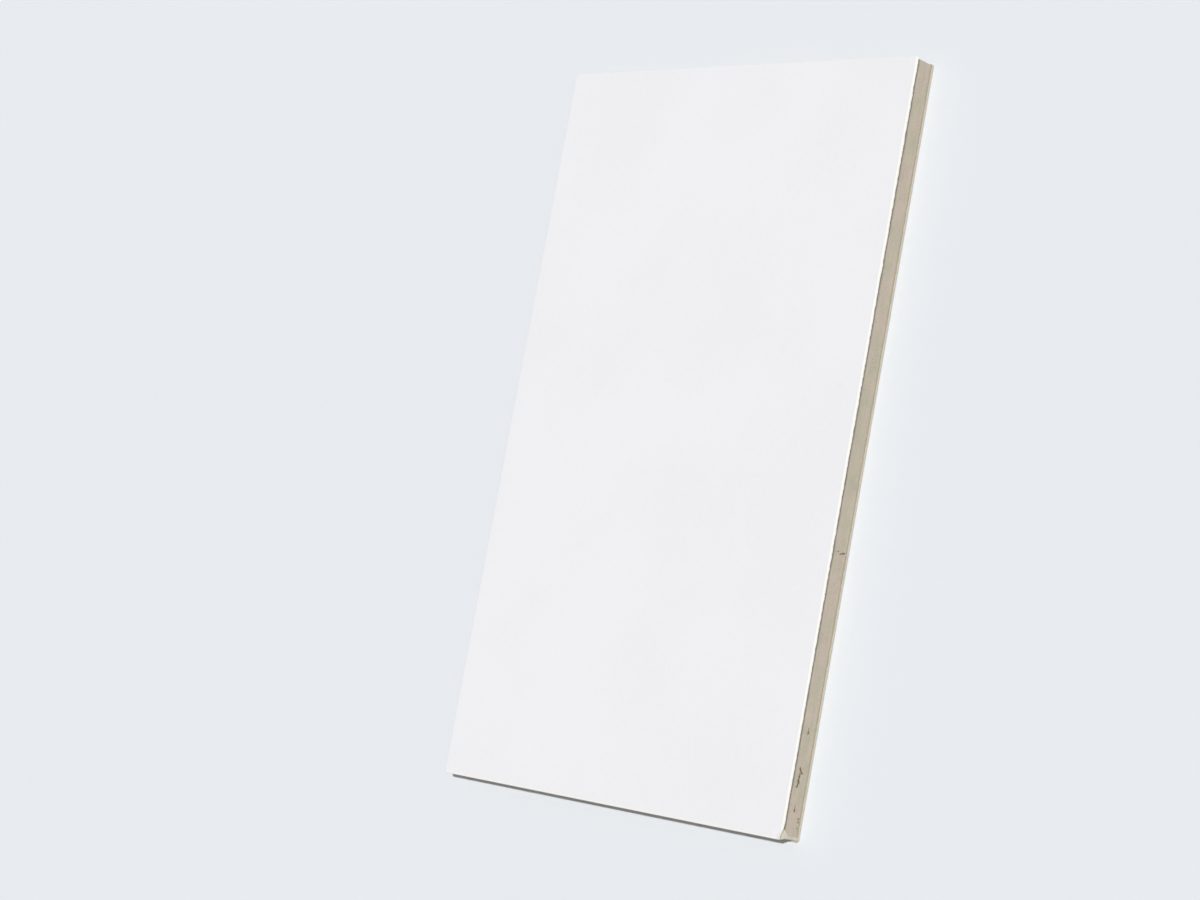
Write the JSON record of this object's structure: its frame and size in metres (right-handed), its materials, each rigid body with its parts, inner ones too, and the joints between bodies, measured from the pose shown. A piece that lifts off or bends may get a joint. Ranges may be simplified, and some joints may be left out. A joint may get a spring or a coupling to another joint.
{
  "type": "drywall sheet",
  "caption": "Flat rectangular piece of gypsum board with a bare plaster core between a smooth white face paper and a plain back paper; one corner is knocked.",
  "frame": {"origin": "centre of the back face, which lies on the floor", "axes": "+Z out of the white face, through the thickness; +Y along the sheet; +X across it"},
  "size_m": [0.255, 0.425, 0.0159],
  "materials": {
    "gypsum": "matt, chalky and finely pitted",
    "face_paper": "matt, smooth off-white",
    "back_paper": "matt, slightly fibrous cream-grey"
  },
  "bodies": {
    "root": {"gypsum_core": "gypsum", "face_paper": "face_paper", "back_paper": "back_paper"}
  },
  "joints": []
}
